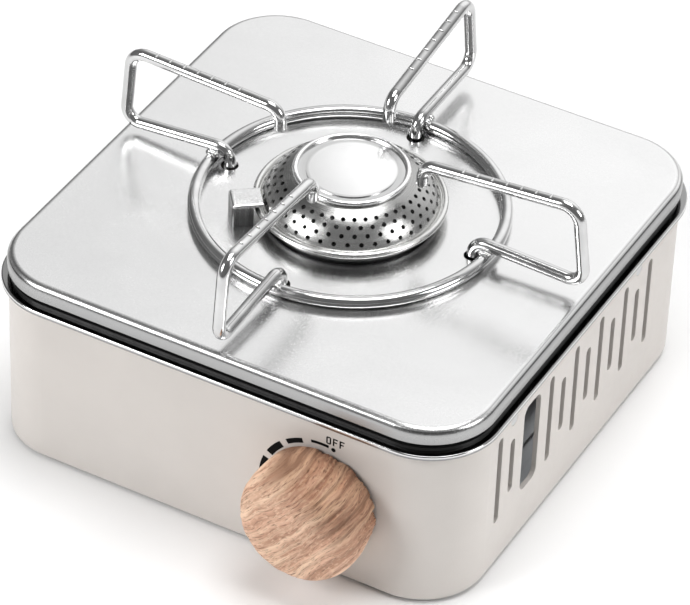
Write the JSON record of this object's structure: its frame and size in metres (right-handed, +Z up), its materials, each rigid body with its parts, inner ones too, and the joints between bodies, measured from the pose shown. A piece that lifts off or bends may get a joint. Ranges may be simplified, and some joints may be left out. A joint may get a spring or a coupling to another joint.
{
  "type": "camping stove",
  "caption": "Square portable gas camping stove: painted case with side slots, stainless deck, perforated burner, wire pan supports and a round wooden knob.",
  "frame": {"origin": "centre of the footprint, on the surface that the feet stand on", "axes": "+Z up, -Y towards the front with the knob, +X to the right seen from the front"},
  "size_m": [0.2146, 0.238, 0.1309],
  "materials": {
    "shell_paint": "satin",
    "frame_black": "matte",
    "rim_polished": "polished",
    "deck_steel": "brushed",
    "burner_steel": "polished",
    "cap_steel": "polished",
    "burner_iron": "rough",
    "trivet_wire": "satin",
    "cover_steel": "brushed",
    "knob_wood": "oiled",
    "plated_sheet": "satin",
    "screw_steel": "satin",
    "foot_rubber": "matte",
    "seal_rubber": "matte",
    "regulator_alloy": "cast",
    "valve_brass": "turned",
    "gas_copper": "satin",
    "ceramic_white": "glazed",
    "piezo_plastic": "moulded",
    "lead_sleeve": "extruded",
    "magnet_dark": "ground"
  },
  "bodies": {
    "stove": {"body_shell": "shell_paint", "corner_brackets": "plated_sheet", "base_plate": "plated_sheet", "base_screws": "screw_steel", "rubber_feet": "foot_rubber", "side_screws": "screw_steel", "rim_trim": "rim_polished", "deck_frame": "frame_black", "top_plate": "deck_steel", "burner_pan": "plated_sheet", "burner_base": "burner_iron", "burner_screws": "screw_steel", "burner_flange": "burner_steel", "burner_cone": "burner_steel", "burner_cap": "cap_steel", "igniter_cover": "cover_steel", "electrode_ceramic": "ceramic_white", "electrode_rod": "screw_steel", "ignition_lead": "lead_sleeve", "piezo_igniter": "piezo_plastic", "mixing_tube": "plated_sheet", "gas_jet": "valve_brass", "jet_bracket": "plated_sheet", "gas_pipe": "gas_copper", "regulator_body": "regulator_alloy", "regulator_cover": "regulator_alloy", "cover_screws": "screw_steel", "diaphragm": "seal_rubber", "regulator_spring": "screw_steel", "valve_socket": "valve_brass", "socket_seal": "seal_rubber", "can_magnet": "magnet_dark", "regulator_bracket": "plated_sheet", "bracket_screws": "screw_steel", "packing_nut": "valve_brass", "can_rails": "plated_sheet", "heat_shield": "plated_sheet"},
    "knob": {"wood_knob": "knob_wood", "knob_insert": "valve_brass", "valve_spindle": "valve_brass", "ignition_cam": "piezo_plastic"},
    "plunger": {"piezo_plunger": "ceramic_white"},
    "trivet": {"trivet_ring": "trivet_wire", "trivet_arm_left": "trivet_wire", "trivet_arm_right": "trivet_wire", "trivet_arm_front": "trivet_wire", "trivet_arm_back": "trivet_wire"}
  },
  "joints": [
    {"name": "knob_turn", "type": "hinge", "parent": "stove", "child": "knob", "pos_m": [0.048, -0.0927, 0.0375], "axis": [0, -1, 0], "range_deg": [0, 120]},
    {"name": "plunger_slide", "type": "slide", "parent": "stove", "child": "plunger", "axis": [-1, 0, 0], "range_m": [0, 0.005]},
    {"name": "trivet_lift", "type": "slide", "parent": "stove", "child": "trivet", "axis": [0, 0, 1], "range_m": [0, 0.03]}
  ],
  "couplings": [
    {"joint": "plunger_slide", "follows": "knob_turn", "m_per_rad": 0.0023873}
  ]
}
